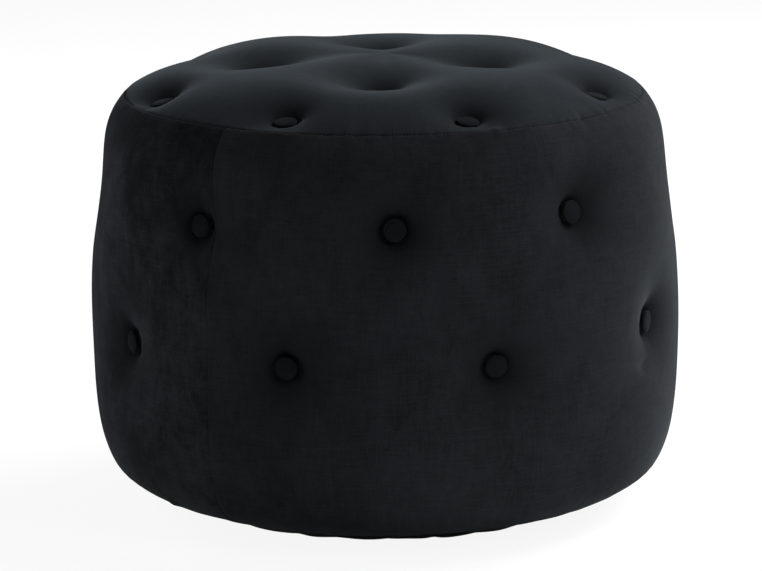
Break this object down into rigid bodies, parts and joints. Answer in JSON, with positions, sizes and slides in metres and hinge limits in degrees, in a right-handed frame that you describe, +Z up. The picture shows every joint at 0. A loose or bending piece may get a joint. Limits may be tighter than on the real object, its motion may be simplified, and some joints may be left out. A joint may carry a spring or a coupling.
{
  "type": "tuffet",
  "caption": "Round velvet tuffet with a domed top and softly bulging side, deep button tufted all over and stuffed with foam on a wooden core, for resting feet or sitting on.",
  "frame": {"origin": "on the floor under the middle of the drum", "axes": "+Z up; the front, where the vertical side seam lies to the left, faces -Y, and +X is to its right"},
  "size_m": [0.5991, 0.5964, 0.4556],
  "materials": {
    "velvet": "short cut pile velvet, cool black with a pale sheen at grazing angles",
    "foam": "open cell upholstery foam, pale cream",
    "plywood": "raw plywood",
    "softwood": "sawn softwood",
    "hardboard": "smooth brown hardboard",
    "dust_cloth": "thin black non-woven cloth",
    "plastic": "black nylon",
    "steel": "zinc plated steel"
  },
  "bodies": {
    "root": {"base_board": "plywood", "base_screw_1": "steel", "base_screw_2": "steel", "base_screw_3": "steel", "base_screw_4": "steel", "button_side_lower_1": "velvet", "button_side_lower_2": "velvet", "button_side_lower_3": "velvet", "button_side_lower_4": "velvet", "button_side_lower_5": "velvet", "button_side_lower_6": "velvet", "button_side_lower_7": "velvet", "button_side_lower_8": "velvet", "button_side_upper_1": "velvet", "button_side_upper_2": "velvet", "button_side_upper_3": "velvet", "button_side_upper_4": "velvet", "button_side_upper_5": "velvet", "button_side_upper_6": "velvet", "button_side_upper_7": "velvet", "button_side_upper_8": "velvet", "button_top_inner_1": "velvet", "button_top_inner_2": "velvet", "button_top_inner_3": "velvet", "button_top_inner_4": "velvet", "button_top_outer_1": "velvet", "button_top_outer_2": "velvet", "button_top_outer_3": "velvet", "button_top_outer_4": "velvet", "button_top_outer_5": "velvet", "button_top_outer_6": "velvet", "button_top_outer_7": "velvet", "button_top_outer_8": "velvet", "deck_board": "plywood", "deck_screw_1": "steel", "deck_screw_2": "steel", "deck_screw_3": "steel", "deck_screw_4": "steel", "dust_cover": "dust_cloth", "glide_1": "plastic", "glide_2": "plastic", "glide_3": "plastic", "glide_4": "plastic", "post_1": "softwood", "post_2": "softwood", "post_3": "softwood", "post_4": "softwood", "side_cover_back": "velvet", "side_cover_front": "velvet", "side_foam": "foam", "top_cover": "velvet", "top_foam": "foam", "wall_wrap": "hardboard"}
  },
  "joints": []
}
